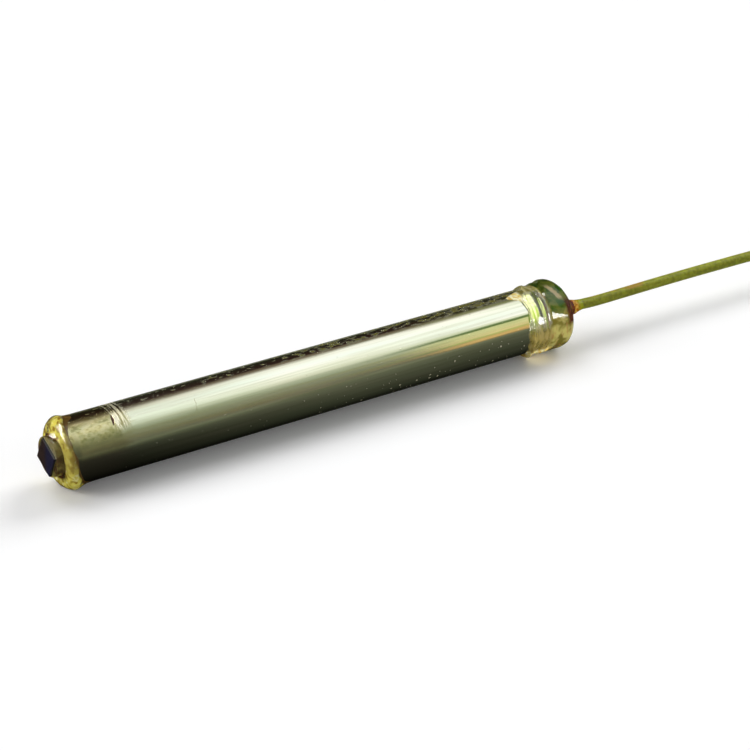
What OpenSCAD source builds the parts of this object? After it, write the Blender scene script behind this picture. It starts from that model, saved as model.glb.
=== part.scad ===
// Fiber optic pressure sensor: a metal sleeve with a silicon pressure chip on a glass ferrule
// at its front end, and a coated fiber that leaves through a resin dome at its rear end.
// Millimetres, +Z up. The origin is on the sleeve's axis, in the plane of its front rim.
// +X runs along the sleeve towards the fiber. The sensor lies on its two resin ends.

/* [Sleeve] */
// Outer diameter of the metal sleeve
sleeve_d = 3.0; // [2.6:0.1:3.4]
// Thickness of the sleeve's wall
sleeve_wall = 0.25; // [0.15:0.05:0.35]
// Length of the sleeve
sleeve_len = 24.5; // [20:0.5:30]
// Chamfer inside each end of the sleeve
sleeve_chamfer = 0.1; // [0.05:0.01:0.12]

/* [Front ferrule] */
// Outer diameter of the glass ferrule
ferrule_d = 1.8; // [1.6:0.05:1.95]
// Length of the glass ferrule
ferrule_len = 6.5; // [5:0.5:8]
// How far the ferrule stands out of the sleeve
ferrule_out = 0.55; // [0.45:0.05:0.8]
// Diameter of the bare glass fiber
glass_d = 0.125; // [0.1:0.005:0.15]
// Gap between the glass fiber and the wall of its bore
glass_gap = 0.002; // [0.001:0.001:0.004]
// Diameter of the cone's mouth at the rear of the ferrule
cone_d = 0.9; // [0.8:0.05:1.1]
// Length of that cone
cone_len = 1.0; // [0.8:0.1:1.5]

/* [Pressure chip] */
// Side of the square chip
die_side = 1.2; // [1.0:0.05:1.25]
// Thickness of the silicon
silicon_t = 0.05; // [0.04:0.01:0.1]
// Thickness of the chip's glass base
die_glass_t = 0.05; // [0.03:0.01:0.1]
// Thickness of the adhesive film under the chip
bond_t = 0.02; // [0.02:0.01:0.05]
// Diameter of the cavity behind the diaphragm
cavity_d = 0.6; // [0.4:0.05:0.8]
// Depth of that cavity
cavity_depth = 0.02; // [0.01:0.005:0.025]
// Diameter of the window in the adhesive film
window_d = 0.4; // [0.3:0.05:0.5]
// Turn of the chip about the sleeve's axis, one corner from straight up
die_turn = 17.8; // [0:0.1:45]

/* [Front bead] */
// How far the bead stands proud of the sleeve, all round
bead_proud = 0.1; // [0.08:0.01:0.12]
// How far the bead reaches in front of the rim
bead_front = 0.3; // [0.25:0.05:0.4]
// How far the bead reaches back over the sleeve
bead_back = 0.45; // [0.35:0.05:0.6]
// How far behind the rim the bead's round lip is at its fullest
bead_lip_back = 0.1; // [0.05:0.05:0.15]
// Thickness of the bead at its back edge
bead_edge_t = 0.06; // [0.05:0.01:0.07]
// Depth to which the same resin fills the gap round the ferrule
bead_depth = 3.0; // [2:0.5:4]

/* [Rear resin] */
// How far the collar's ridges stand proud of the sleeve
collar_proud = 0.15; // [0.13:0.01:0.17]
// How far the collar reaches over the sleeve
collar_over = 0.8; // [0.6:0.1:1.2]
// How far the collar reaches behind the rim
collar_behind = 0.55; // [0.45:0.05:0.7]
// Radius of the round section of the collar's two ridges
ridge_r = 0.35; // [0.3:0.05:0.4]
// Thickness of the collar's band at its front edge
collar_front_t = 0.02; // [0.01:0.01:0.03]
// Thickness of the collar's band at its back edge
collar_back_t = 0.07; // [0.05:0.01:0.08]
// How far the dome reaches behind the rim
dome_len = 1.8; // [1.6:0.05:2.2]
// How far the dome's belly stands proud of the sleeve
dome_proud = 0.12; // [0.05:0.01:0.12]
// Radius of the dome's round shoulder
shoulder_r = 0.65; // [0.5:0.05:0.8]
// Height of the dome's flat cone inside its shoulder
dome_rise = 0.08; // [0.04:0.01:0.12]
// Radius of the dome's small edge beside the collar
dome_edge_r = 0.15; // [0.1:0.01:0.2]
// How much thinner the dome is at that edge than at its belly
dome_swell = 0.04; // [0.02:0.01:0.06]
// Depth of the resin plug inside the sleeve
plug_depth = 4.0; // [3:0.5:6]

/* [Fiber] */
// Diameter of the coated fiber
fiber_d = 0.5; // [0.45:0.01:0.52]
// Length of the coated fiber that sits in the ferrule's cone
fiber_seat = 0.4; // [0.3:0.05:0.42]
// Outer diameter of the relief tube round the fiber
tube_d = 0.75; // [0.7:0.01:0.9]
// Gap between the fiber and the relief tube
tube_gap = 0.01; // [0.01:0.005:0.03]
// How far the relief tube stands out of the dome
tube_out = 0.7; // [0.5:0.05:0.9]
// Length of the relief tube
tube_len = 7.5; // [6:0.5:9]
// Length of the resin taper from the tube to the fiber
fillet_len = 0.55; // [0.4:0.05:0.55]
// Thickness of that taper at its thin end
fillet_tip = 0.03; // [0.02:0.01:0.05]

/* [Fiber coil] */
// Radius to the middle of the coil's section
coil_r = 9.75; // [9:0.25:11]
// Turns beside each other
coil_columns = 4; // [3:1:5]
// Turns on top of each other
coil_layers = 6; // [4:1:7]
// Number of ties round the coil
tie_count = 3; // [2:1:4]
// Width of a tie along the coil
tie_w = 1.6; // [1:0.1:2.5]
// Thickness of a tie
tie_t = 0.15; // [0.1:0.01:0.2]

/* [End plug] */
// Diameter of the ceramic ferrule
plug_ferrule_d = 2.5; // [2.4:0.05:2.6]
// Length of the ceramic ferrule outside the plug's body
plug_ferrule_out = 6.0; // [5:0.5:7]
// Length of the ceramic ferrule inside the plug's body
plug_ferrule_in = 1.6; // [1.4:0.1:1.7]
// How much the ceramic ferrule's radius shrinks along its seat in the body
plug_seat_taper = 0.3; // [0.2:0.05:0.4]
// How far in front of the body that taper starts
plug_seat_gap = 0.1; // [0.05:0.05:0.2]
// Chamfer at the tip of the ceramic ferrule
plug_tip_chamfer = 0.4; // [0.2:0.05:0.5]
// Diameter of the flange on the plug's body
plug_flange_d = 3.6; // [3.4:0.1:3.8]
// Width of the flange
plug_flange_w = 1.2; // [0.8:0.1:1.5]
// Diameter of the plug's body behind the flange
plug_body_d = 3.1; // [3.0:0.1:3.3]
// Length of the plug's body, with its flange
plug_body_len = 3.0; // [2.8:0.1:3.5]
// Length of the tapered boot
boot_len = 9.0; // [7:0.5:10]
// Diameter of the boot at its thick end
boot_d = 2.6; // [2.4:0.1:2.8]
// Diameter of the boot at its thin end
boot_tip_d = 1.1; // [0.9:0.1:1.4]
// Number of grooves round the boot
boot_grooves = 5; // [3:1:6]
// Depth of those grooves
groove_depth = 0.15; // [0.1:0.01:0.2]
// Width of those grooves
groove_w = 0.5; // [0.3:0.1:0.7]

/* [Hidden] */

$fn = 96;

// Radii and stations along the sleeve
sleeve_r = sleeve_d / 2;
bore_r = sleeve_r - sleeve_wall;
glass_r = glass_d / 2;
fiber_r = fiber_d / 2;
fiber_hole_r = fiber_r + tube_gap;
tube_r = tube_d / 2;
ferrule_back = ferrule_len - ferrule_out;
buffer_start = ferrule_back - fiber_seat;
die_base_x = -ferrule_out - bond_t;
silicon_x = die_base_x - die_glass_t;
die_front = silicon_x - silicon_t;

// How far the bead has sagged, so that the sensor lies level on its bead and its collar
bead_sag = collar_proud - bead_proud;

// The rear resin
collar_front = sleeve_len - collar_over;
collar_back = sleeve_len + collar_behind;
ridge_out = sleeve_r + collar_proud - ridge_r;
ridge_half = sqrt(ridge_r * ridge_r - (ridge_r - collar_proud) * (ridge_r - collar_proud));
belly_r = sleeve_r + dome_proud;
dome_tip = sleeve_len + dome_len;
shoulder_x = dome_tip - dome_rise - shoulder_r;
tube_end = dome_tip + tube_out;
fillet_end = tube_end + fillet_len;

// The surface that the sensor lies on, one collar ridge below the axis
floor_z = -sleeve_r - collar_proud;

// The coil, which lies on its ties past the end of the lead
coil_w = coil_columns * fiber_d;
coil_h = coil_layers * fiber_d;
coil_in = coil_r - coil_w / 2;
coil_out = coil_r + coil_w / 2;
coil_z = floor_z + tie_t;
coil_x = 69;
coil_y = -(coil_out - fiber_r);
tie_angle = 2 * asin(tie_w / 2 / coil_r);
tie_start = 30;

// The end plug, which lies on its flange beside the coil and points towards -X
plug_y = coil_y - (coil_out - fiber_r);
plug_z = floor_z + plug_flange_d / 2;
boot_back = 57.5;
boot_front = boot_back - boot_len;
flange_front = boot_front - plug_body_len;
plug_tip = flange_front - plug_ferrule_out;
ferrule_seat = flange_front + plug_ferrule_in;
plug_ferrule_r = plug_ferrule_d / 2;
seat_r = plug_ferrule_r - plug_seat_taper;
seat_front = flange_front - plug_seat_gap;
seat_mouth_r = plug_ferrule_r - plug_seat_taper * plug_seat_gap / (ferrule_seat - seat_front);

// Sides of the swept fiber, and steps between two points of its route
sweep_sides = 8;
sweep_steps = 2;

// The route of the lead, from the fillet to where it joins the coil
lead_route = [[fillet_end, 0, 0], [31, 0, 0], [35, 0, 0], [40, 0, -0.05], [45, 0, -0.2],
              [50, 0, -0.48], [55, 0, -0.8], [60, 0, -1.08], [63.5, 0, -1.22],
              [65.7, 0, -1.25]];

// The route of the tail, from where it leaves the coil to the thin end of the boot
tail_route = [[65.7, plug_y, 1.2], [64, plug_y, 1.05], [62, plug_y, 0.65],
              [60, plug_y, 0.25], [58.5, plug_y, 0.15], [boot_back, plug_y, plug_z]];

// A point on the smooth curve through p[1] and p[2], at t from 0 to 1 between them
function curve(p, t) = 0.5 * (2 * p[1] + (p[2] - p[0]) * t
    + (2 * p[0] - 5 * p[1] + 4 * p[2] - p[3]) * t * t
    + (3 * p[1] - p[0] - 3 * p[2] + p[3]) * t * t * t);

// The route with its two ends run on, so that the curve starts and stops straight
function run_on(r) = concat([2 * r[0] - r[1]], r, [2 * r[len(r) - 1] - r[len(r) - 2]]);

// The points of the smooth curve along a route
function smooth(r) = let (e = run_on(r), last = len(r) - 2)
    concat([for (i = [0:last], s = [0:sweep_steps - 1])
                curve([e[i], e[i + 1], e[i + 2], e[i + 3]], s / sweep_steps)],
           [r[len(r) - 1]]);

// The direction of the path at its point i
function heading(p, i) =
    let (d = p[min(i + 1, len(p) - 1)] - p[max(i - 1, 0)]) d / norm(d);

// A ring of points round the path at its point i, square to the path and upright at its ends
function ring(p, i, r) =
    let (last = len(p) - 1,
         way = [sign(p[last][0] - p[0][0]), 0, 0],
         d = i == 0 || i == last ? way : heading(p, i),
         side = [0, 1, 0],
         up = cross(d, side))
    [for (k = [0:sweep_sides - 1])
        let (a = 360 * (k + 0.5) / sweep_sides) p[i] + r * (cos(a) * side + sin(a) * up)];

// A closed tube of radius r along a path that runs along X and keeps its Y
module swept(p, r) {
    n = sweep_sides;
    last = len(p) - 1;
    points = [for (i = [0:last]) each ring(p, i, r)];
    walls = [for (i = [0:last - 1], k = [0:n - 1])
        [i * n + k, i * n + (k + 1) % n, (i + 1) * n + (k + 1) % n, (i + 1) * n + k]];
    ends = [[for (k = [n - 1:-1:0]) k], [for (k = [0:n - 1]) last * n + k]];
    polyhedron(points = points, faces = concat(walls, ends), convexity = 4);
}

// Turns a profile drawn as [distance from the axis, station] into a solid along +X
module turned() {
    rotate([0, 90, 0]) rotate_extrude() children();
}

// A cylinder along +X from station x
module rod(r, x, length) {
    translate([x, 0, 0]) rotate([0, 90, 0]) cylinder(r = r, h = length);
}

// A cone along +X from station x
module cone(r1, r2, x, length) {
    translate([x, 0, 0]) rotate([0, 90, 0]) cylinder(r1 = r1, r2 = r2, h = length);
}

module sleeve_solid() {
    turned() polygon([
        [bore_r + sleeve_chamfer, 0], [sleeve_r, 0],
        [sleeve_r, sleeve_len], [bore_r + sleeve_chamfer, sleeve_len],
        [bore_r, sleeve_len - sleeve_chamfer], [bore_r, sleeve_chamfer]]);
}

module sleeve() {
    color("#b8b08a") sleeve_solid();
}

module ferrule() {
    color("#8a8040", 0.8) difference() {
        rod(ferrule_d / 2, -ferrule_out, ferrule_len);
        rod(glass_r + glass_gap, -ferrule_out - 1, ferrule_len + 1);
        cone(glass_r + glass_gap, cone_d / 2, ferrule_back - cone_len, cone_len);
    }
}

module fiber_glass() {
    color("#dfe6e0") rod(glass_r, -ferrule_out, buffer_start + ferrule_out);
}

// A square plate of the chip, one corner die_turn from straight up
module die_plate(x, t) {
    translate([x, 0, 0]) rotate([-die_turn - 45, 0, 0])
        translate([0, -die_side / 2, -die_side / 2]) cube([t, die_side, die_side]);
}

module die_bond() {
    color("#a89a50") difference() {
        die_plate(die_base_x, bond_t);
        rod(window_d / 2, die_base_x - 1, bond_t + 2);
    }
}

module die_glass() {
    color("#3c4430") die_plate(silicon_x, die_glass_t);
}

module die_silicon() {
    color("#101014") difference() {
        die_plate(die_front, silicon_t);
        rod(cavity_d / 2, silicon_x - cavity_depth, cavity_depth + 1);
    }
}

// The bead's outside: a round lip over the rim that tapers off over the sleeve
module bead_profile() {
    lip_r = sleeve_r + bead_proud;
    round_r = bead_front + bead_lip_back;
    difference() {
        union() {
            translate([lip_r - round_r, bead_lip_back]) circle(r = round_r);
            polygon([[0, -bead_front], [lip_r - round_r, -bead_front], [lip_r, bead_lip_back],
                     [sleeve_r + bead_edge_t, bead_back], [0, bead_back]]);
        }
        translate([-round_r, -bead_front]) square([round_r, 2 * round_r]);
    }
}

module front_bead() {
    color("#d8cc48") difference() {
        union() {
            translate([0, 0, -bead_sag]) turned() bead_profile();
            rod(bore_r, 0, bead_depth);
        }
        sleeve_solid();
        rod(ferrule_d / 2, -ferrule_out, ferrule_len);
    }
}

// Two round ridges on a thin band, outside the sleeve and the dome's neck
module rear_collar() {
    color("#c8b04c", 0.8) turned() difference() {
        union() {
            for (x = [collar_front + ridge_half, collar_back - ridge_half])
                translate([ridge_out, x]) circle(r = ridge_r);
            polygon([[0, collar_front], [sleeve_r + collar_front_t, collar_front],
                     [sleeve_r + collar_back_t, collar_back], [0, collar_back]]);
        }
        translate([0, collar_front - ridge_r])
            square([sleeve_r, collar_back - collar_front + 2 * ridge_r]);
    }
}

// The dome's outside, with its neck inside the collar and its plug inside the sleeve
module dome_profile() {
    edge_out = belly_r - dome_swell;
    translate([0, sleeve_len - plug_depth]) square([bore_r, plug_depth]);
    translate([0, sleeve_len - sleeve_chamfer]) square([sleeve_r, collar_behind + sleeve_chamfer]);
    translate([0, collar_back]) square([edge_out - dome_edge_r, dome_edge_r]);
    translate([edge_out - dome_edge_r, collar_back + dome_edge_r]) circle(r = dome_edge_r);
    polygon([[0, collar_back + dome_edge_r], [edge_out, collar_back + dome_edge_r],
             [belly_r, shoulder_x], [0, shoulder_x]]);
    translate([belly_r - shoulder_r, shoulder_x]) circle(r = shoulder_r);
    polygon([[0, shoulder_x], [belly_r - shoulder_r, shoulder_x],
             [belly_r - shoulder_r, dome_tip - dome_rise], [tube_r, dome_tip], [0, dome_tip]]);
}

module rear_dome() {
    color("#a0a050", 0.6) difference() {
        turned() intersection() {
            dome_profile();
            translate([0, -1]) square([2 * belly_r, dome_tip + 2]);
        }
        sleeve_solid();
        rod(tube_r, sleeve_len - plug_depth - 1, plug_depth + dome_len + 2);
    }
}

module relief_tube() {
    color("#5a2e14") difference() {
        rod(tube_r, tube_end - tube_len, tube_len);
        rod(fiber_hole_r, tube_end - tube_len - 1, tube_len + 2);
    }
}

module fiber_held() {
    color("#9aa028") rod(fiber_r, buffer_start, fillet_end - buffer_start);
}

module fiber_fillet() {
    color("#d07a1c") difference() {
        cone(tube_r, fiber_r + fillet_tip, tube_end, fillet_len);
        rod(fiber_r, tube_end - 1, fillet_len + 2);
    }
}

module fiber_lead() {
    color("#9aa028") swept(smooth(lead_route), fiber_r);
}

// The coil's section, grown by more on every side
module coil_section(more) {
    translate([coil_in - more, coil_z - more]) square([coil_w + 2 * more, coil_h + 2 * more]);
}

// The outer shape of all the coil's turns together
module fiber_coil() {
    color("#9aa028") translate([coil_x, coil_y, 0]) rotate_extrude() coil_section(0);
}

module coil_ties() {
    color("#e8e8e4") translate([coil_x, coil_y, 0])
        for (i = [0:tie_count - 1])
            rotate([0, 0, tie_start + i * 360 / tie_count])
                rotate_extrude(angle = tie_angle) difference() {
                    coil_section(tie_t);
                    coil_section(0);
                }
}

module fiber_tail() {
    color("#9aa028") swept(smooth(tail_route), fiber_r);
}

module at_plug() {
    translate([0, plug_y, plug_z]) children();
}

// A taper with grooves round it, so that it bends with the fiber
module plug_boot() {
    groove_step = boot_len / (boot_grooves + 2);
    color("#3a3c40") at_plug() turned() difference() {
        polygon([[fiber_hole_r, boot_front], [boot_d / 2, boot_front],
                 [boot_tip_d / 2, boot_back], [fiber_hole_r, boot_back]]);
        for (i = [1:boot_grooves])
            let (x = boot_front + i * groove_step,
                 r = (boot_d + (boot_tip_d - boot_d) * i * groove_step / boot_len) / 2)
                translate([r - groove_depth, x]) square([boot_d, groove_w]);
    }
}

module plug_body() {
    color("#c4c6c8") at_plug() turned() polygon([
        [seat_mouth_r, flange_front], [plug_flange_d / 2, flange_front],
        [plug_flange_d / 2, flange_front + plug_flange_w],
        [plug_body_d / 2, flange_front + plug_flange_w],
        [plug_body_d / 2, boot_front], [fiber_hole_r, boot_front],
        [fiber_hole_r, ferrule_seat], [seat_r, ferrule_seat]]);
}

module plug_ferrule() {
    hole_r = glass_r + glass_gap;
    color("#f2f0ea") at_plug() turned() polygon([
        [hole_r, plug_tip], [plug_ferrule_r - plug_tip_chamfer, plug_tip],
        [plug_ferrule_r, plug_tip + plug_tip_chamfer],
        [plug_ferrule_r, seat_front], [seat_r, ferrule_seat], [hole_r, ferrule_seat]]);
}

module plug_buffer() {
    color("#9aa028") at_plug() rod(fiber_r, ferrule_seat, boot_back - ferrule_seat);
}

module plug_glass() {
    color("#dfe6e0") at_plug() rod(glass_r, plug_tip, ferrule_seat - plug_tip);
}

sleeve();
ferrule();
fiber_glass();
die_bond();
die_glass();
die_silicon();
front_bead();
rear_collar();
rear_dome();
relief_tube();
fiber_held();
fiber_fillet();
fiber_lead();
fiber_coil();
coil_ties();
fiber_tail();
plug_boot();
plug_body();
plug_ferrule();
plug_buffer();
plug_glass();
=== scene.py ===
"""Looks of the fiber optic pressure sensor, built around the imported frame. Metres, +Z up.
The sleeve lies along X with its front rim at x = 0, and the fiber leaves towards +X.
Around the sleeve, the angle phi is 0 at -Y and 90 degrees straight up.
Stations, radii and depths in this file are in millimetres, unless it says otherwise."""
import math

import bpy
import numpy as np
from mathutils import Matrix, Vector


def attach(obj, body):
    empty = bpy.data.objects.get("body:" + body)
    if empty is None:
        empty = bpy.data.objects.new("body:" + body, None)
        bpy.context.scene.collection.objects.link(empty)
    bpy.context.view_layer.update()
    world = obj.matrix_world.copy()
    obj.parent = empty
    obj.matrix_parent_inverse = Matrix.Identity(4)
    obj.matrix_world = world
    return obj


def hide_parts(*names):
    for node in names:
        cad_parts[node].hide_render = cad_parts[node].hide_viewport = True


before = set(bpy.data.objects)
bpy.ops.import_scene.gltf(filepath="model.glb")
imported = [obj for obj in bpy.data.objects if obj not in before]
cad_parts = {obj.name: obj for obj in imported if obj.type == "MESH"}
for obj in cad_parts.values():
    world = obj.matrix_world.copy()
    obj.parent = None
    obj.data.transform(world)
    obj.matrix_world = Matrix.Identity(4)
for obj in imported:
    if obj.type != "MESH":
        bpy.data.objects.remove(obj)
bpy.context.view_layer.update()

MM = 0.001

# The part's named values, the same as the solids'
SLEEVE_R = 1.5
BORE_R = 1.25
SLEEVE_LEN = 24.5
SLEEVE_CHAMFER = 0.1
FERRULE_R = 0.9
BEAD_DEPTH = 3.0
PLUG_DEPTH = 4.0
TUBE_R = 0.375
TUBE_END = 27.0
TUBE_LEN = 7.5
FILLET_END = 27.55
FIBER_D = 0.5
FIBER_R = FIBER_D / 2
TIE_T = 0.15
FLOOR_Z = -1.65
COIL_X = 69.0
COIL_Y = -10.5
COIL_RADII = (10.5, 10.0, 9.5, 9.0)
COIL_LAYERS = 6
COIL_Z = FLOOR_Z + TIE_T + FIBER_R
COIL_TURNS = 23.5
PLUG_Y = -21.0
# with a slight sag of the lead behind the sensor, which the solids leave out
LEAD_ROUTE = [(FILLET_END, 0, 0), (28.4, 0, -0.035), (30, 0, -0.025), (32, 0, -0.005),
              (35, 0, 0), (40, 0, -0.05), (45, 0, -0.2), (50, 0, -0.48), (55, 0, -0.8),
              (60, 0, -1.08), (63.5, 0, -1.22), (65.7, 0, -1.25)]
TAIL_ROUTE = [(65.7, PLUG_Y, 1.2), (64, PLUG_Y, 1.05), (62, PLUG_Y, 0.65),
              (60, PLUG_Y, 0.25), (58.5, PLUG_Y, 0.15), (57.5, PLUG_Y, 0.15)]

# What this script adds to them
FLOOR_GAP = 0.002       # between the sensor and the floor
THIN_LAP = 0.003        # how far a piece reaches into the one beside it, in thin places,
LAP = 0.004             # in most places
DEEP_LAP = 0.006        # and under a round edge
NICK_X = 2.2
NICK_PHI = 61.0         # in degrees
NICK_LEAN = 0.005       # along the sleeve, for each degree round it
HAIR_X = 6.06           # station of a hairline scratch
LIP_DEPTH = 0.46        # of the bead's round lip
FILM_T = 0.018          # thickness of the resin film over the sleeve
BELLY_END = 25.5        # where the dome starts to close
DOME_MOUTH_R = 0.44     # where it ends round the tube
TUBE_SHOWN = 26.92      # where the orange resin starts to hide the tube
RESIN_SIDES = 192
SMALL_SIDES = 64
FIBER_SIDES = 16


# ---------------------------------------------------------------- camera

CAMERA_PLACE = (-44.198, -91.395, 53.007)
CAMERA_DOWN = 26.1049
CAMERA_TURN = -33.3246
CAMERA_LENS = 129.6

camera_data = bpy.data.cameras.new("camera")
camera_data.lens = CAMERA_LENS
camera_data.sensor_width = 36
camera_data.clip_start = 0.001
camera_data.clip_end = 20
camera = bpy.data.objects.new("camera", camera_data)
camera.location = [c * MM for c in CAMERA_PLACE]
camera.rotation_euler = (math.radians(90 - CAMERA_DOWN), 0, math.radians(CAMERA_TURN))
bpy.context.scene.collection.objects.link(camera)
bpy.context.scene.camera = camera


# ---------------------------------------------------------------- nodes

class Field:
    """An output of a node. Sums, products and the methods below make the nodes after it."""

    def __init__(self, nodes, socket):
        self.nodes = nodes
        self.socket = socket

    def __add__(self, other):
        return self.nodes.math("ADD", self, other)

    def __sub__(self, other):
        return self.nodes.math("SUBTRACT", self, other)

    def __rsub__(self, other):
        return self.nodes.math("SUBTRACT", other, self)

    def __mul__(self, other):
        return self.nodes.math("MULTIPLY", self, other)

    def __pow__(self, other):
        return self.nodes.math("POWER", self, other)

    def __abs__(self):
        return self.nodes.math("ABSOLUTE", self)

    def most(self, other):
        return self.nodes.math("MAXIMUM", self, other)

    def ramp(self, low, high, out_low=0.0, out_high=1.0, kind="SMOOTHSTEP"):
        """From out_low, where the field is low, to out_high, where it is high."""
        return self.nodes.field("ShaderNodeMapRange", "Result", {
            "Value": self, "From Min": low, "From Max": high, "To Min": out_low,
            "To Max": out_high}, interpolation_type=kind)

    def mix(self, a, b):
        """Colour a where the field is 0 and b where it is 1."""
        return self.nodes.field("ShaderNodeMix", "Result", {"Factor": self, "A": a, "B": b},
                                data_type="RGBA")

    def bump(self, depth, onto=None):
        """A bump of depth millimetres, on top of another bump."""
        inputs = {"Distance": depth * MM, "Height": self}
        if onto is not None:
            inputs["Normal"] = onto
        return self.nodes.field("ShaderNodeBump", "Normal", inputs)

    def parts(self):
        """The X, Y and Z of a vector."""
        split = self.nodes.node("ShaderNodeSeparateXYZ", {0: self})
        return [Field(self.nodes, axis) for axis in split.outputs]


class Nodes:
    """Short ways to make and join the nodes of a material or of the world."""

    def __init__(self, owner):
        owner.use_nodes = True
        self.tree = owner.node_tree

    def node(self, kind, inputs=None, **settings):
        n = self.tree.nodes.new(kind)
        for key, value in settings.items():
            setattr(n, key, value)
        for key, value in (inputs or {}).items():
            self.feed(n.inputs[key], value)
        return n

    def field(self, kind, output, inputs=None, **settings):
        return Field(self, self.node(kind, inputs, **settings).outputs[output])

    def feed(self, socket, value):
        """Links a field to the socket, or sets a number, a colour or a vector on it."""
        if isinstance(value, Field):
            self.tree.links.new(value.socket, socket)
        elif isinstance(value, tuple) and socket.type == "RGBA":
            socket.default_value = value + (1,)
        else:
            socket.default_value = value

    def math(self, operation, a, b=0.0):
        return self.field("ShaderNodeMath", 0, {0: a, 1: b}, operation=operation)

    def vector_math(self, operation, output, inputs):
        return self.field("ShaderNodeVectorMath", output, inputs, operation=operation)

    def degrees_up(self, y, z):
        """The angle round the X axis, 0 at -Y and 90 degrees straight up."""
        return self.math("ARCTAN2", z, y * -1.0) * (180 / math.pi)

    def rays(self):
        """Whether a ray is a camera ray, a glossy ray or a transmission ray."""
        paths = self.node("ShaderNodeLightPath")
        return [Field(self, paths.outputs[kind])
                for kind in ("Is Camera Ray", "Is Glossy Ray", "Is Transmission Ray")]

    def emission(self, colour, strength):
        return self.field("ShaderNodeEmission", 0, {"Color": colour, "Strength": strength})

    def background(self, colour, strength=1.0):
        return self.field("ShaderNodeBackground", 0, {"Color": colour, "Strength": strength})

    def mix_shaders(self, factor, a, b):
        return self.field("ShaderNodeMixShader", 0, {0: factor, 1: a, 2: b})


class Look(Nodes):
    """A procedural material with one Principled shader."""

    def __init__(self, name, **values):
        self.material = bpy.data.materials.new(name)
        super().__init__(self.material)
        self.shader = self.tree.nodes["Principled BSDF"]
        self.coords = self.field("ShaderNodeTexCoord", "Object")
        self.set(**values)

    def set(self, **values):
        for key, value in values.items():
            self.feed(self.shader.inputs[key.replace("_", " ")], value)

    def place(self, scale=(1, 1, 1)):
        """Object coordinates in millimetres, stretched by scale."""
        return self.field("ShaderNodeMapping", "Vector", {
            "Vector": self.coords, "Scale": [s / MM for s in scale]})

    def places(self):
        """Station, Y, height, and the angle round the sleeve in degrees."""
        x, y, z = self.place().parts()
        return x, y, z, self.degrees_up(y, z)

    def noise(self, size, scale=(1, 1, 1), detail=3.0, rough=0.5, distort=0.0, shift=0.0):
        """Noise whose spots are about size millimetres across."""
        return self.field("ShaderNodeTexNoise", "Fac", {
            "Vector": self.place(scale), "W": shift, "Scale": 1 / size, "Detail": detail,
            "Roughness": rough, "Distortion": distort}, noise_dimensions="4D")

    def cells(self, size):
        """Distance to the nearest of the points scattered about size millimetres apart, as a
        share of size."""
        return self.field("ShaderNodeTexVoronoi", "Distance", {
            "Vector": self.place(), "Scale": 1 / size})


def two_toned(name, noise, dark, light, low=0.3, high=0.7, depth=0.0, **shader):
    """A look that goes from dark to light with one noise, which also bumps it."""
    look = Look(name, **shader)
    field = look.noise(**noise)
    look.set(Base_Color=field.ramp(low, high).mix(dark, light))
    if depth:
        look.set(Normal=field.bump(depth))
    return look


def dress(thing, look):
    """Gives a CAD node or a new piece its material."""
    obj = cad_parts[thing] if isinstance(thing, str) else thing
    obj.data.materials.clear()
    obj.data.materials.append(look.material)


def finish_piece(obj, slot, look, *nodes):
    """Dresses a new piece, which replaces some CAD nodes."""
    dress(obj, look)
    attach(obj, "root")
    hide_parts(*nodes)


# ---------------------------------------------------------------- mesh helpers

def skin(name, rings, closed=False, sharp=40):
    """A mesh through rings of points in millimetres: a closed loop of rings, or ends capped."""
    rings = np.asarray(rings, float) * MM
    count, sides = rings.shape[:2]
    faces = []
    for i in range(count if closed else count - 1):
        a, b = i * sides, (i + 1) % count * sides
        for k in range(sides):
            n = (k + 1) % sides
            faces.append((a + k, b + k, b + n, a + n))
    if not closed:
        faces.append(tuple(range(sides)))
        faces.append(tuple(range(count * sides - 1, (count - 1) * sides - 1, -1)))
    mesh = bpy.data.meshes.new(name)
    mesh.from_pydata(rings.reshape(-1, 3).tolist(), [], faces)
    mesh.validate()
    mesh.shade_smooth()
    mesh.set_sharp_from_angle(angle=math.radians(sharp))
    mesh.update()
    obj = bpy.data.objects.new(name, mesh)
    bpy.context.scene.collection.objects.link(obj)
    return obj


def around(x, r, phi):
    """Points at station x and radius r round the sleeve's axis, phi in radians."""
    x, r, phi = np.broadcast_arrays(x, r, phi)
    return np.stack([x, -r * np.cos(phi), r * np.sin(phi)], axis=-1)


def above_floor(r, phi):
    """The radius, cut where it would reach the floor."""
    return np.minimum(r, (-FLOOR_Z - FLOOR_GAP) / np.maximum(-np.sin(phi), 1e-3))


def turn_angles(sides):
    return np.arange(sides) * 2 * math.pi / sides


def smooth_step(value, low, high):
    t = np.clip((value - low) / (high - low), 0, 1)
    return t * t * (3 - 2 * t)


def ripples(x, phi, seed, count, most_round, most_along):
    """Smooth lumps from -1 to 1 about, as a sum of waves that close round the axis."""
    rng = np.random.default_rng(seed)
    total = np.zeros(np.broadcast(x, phi).shape)
    for _ in range(count):
        m = rng.integers(0, most_round + 1)
        k = rng.uniform(-most_along, most_along)
        total = total + np.cos(m * phi + k * x + rng.uniform(0, 2 * math.pi))
    return total / math.sqrt(count)


def hill(value, centre, width):
    return np.exp(-((value - centre) / width) ** 2)


def hill_round(phi, centre, width):
    """A hill at the angle centre round the axis, both angles in degrees."""
    away = np.angle(np.exp(1j * (phi - math.radians(centre))))
    return np.exp(-(away / math.radians(width)) ** 2)


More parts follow.
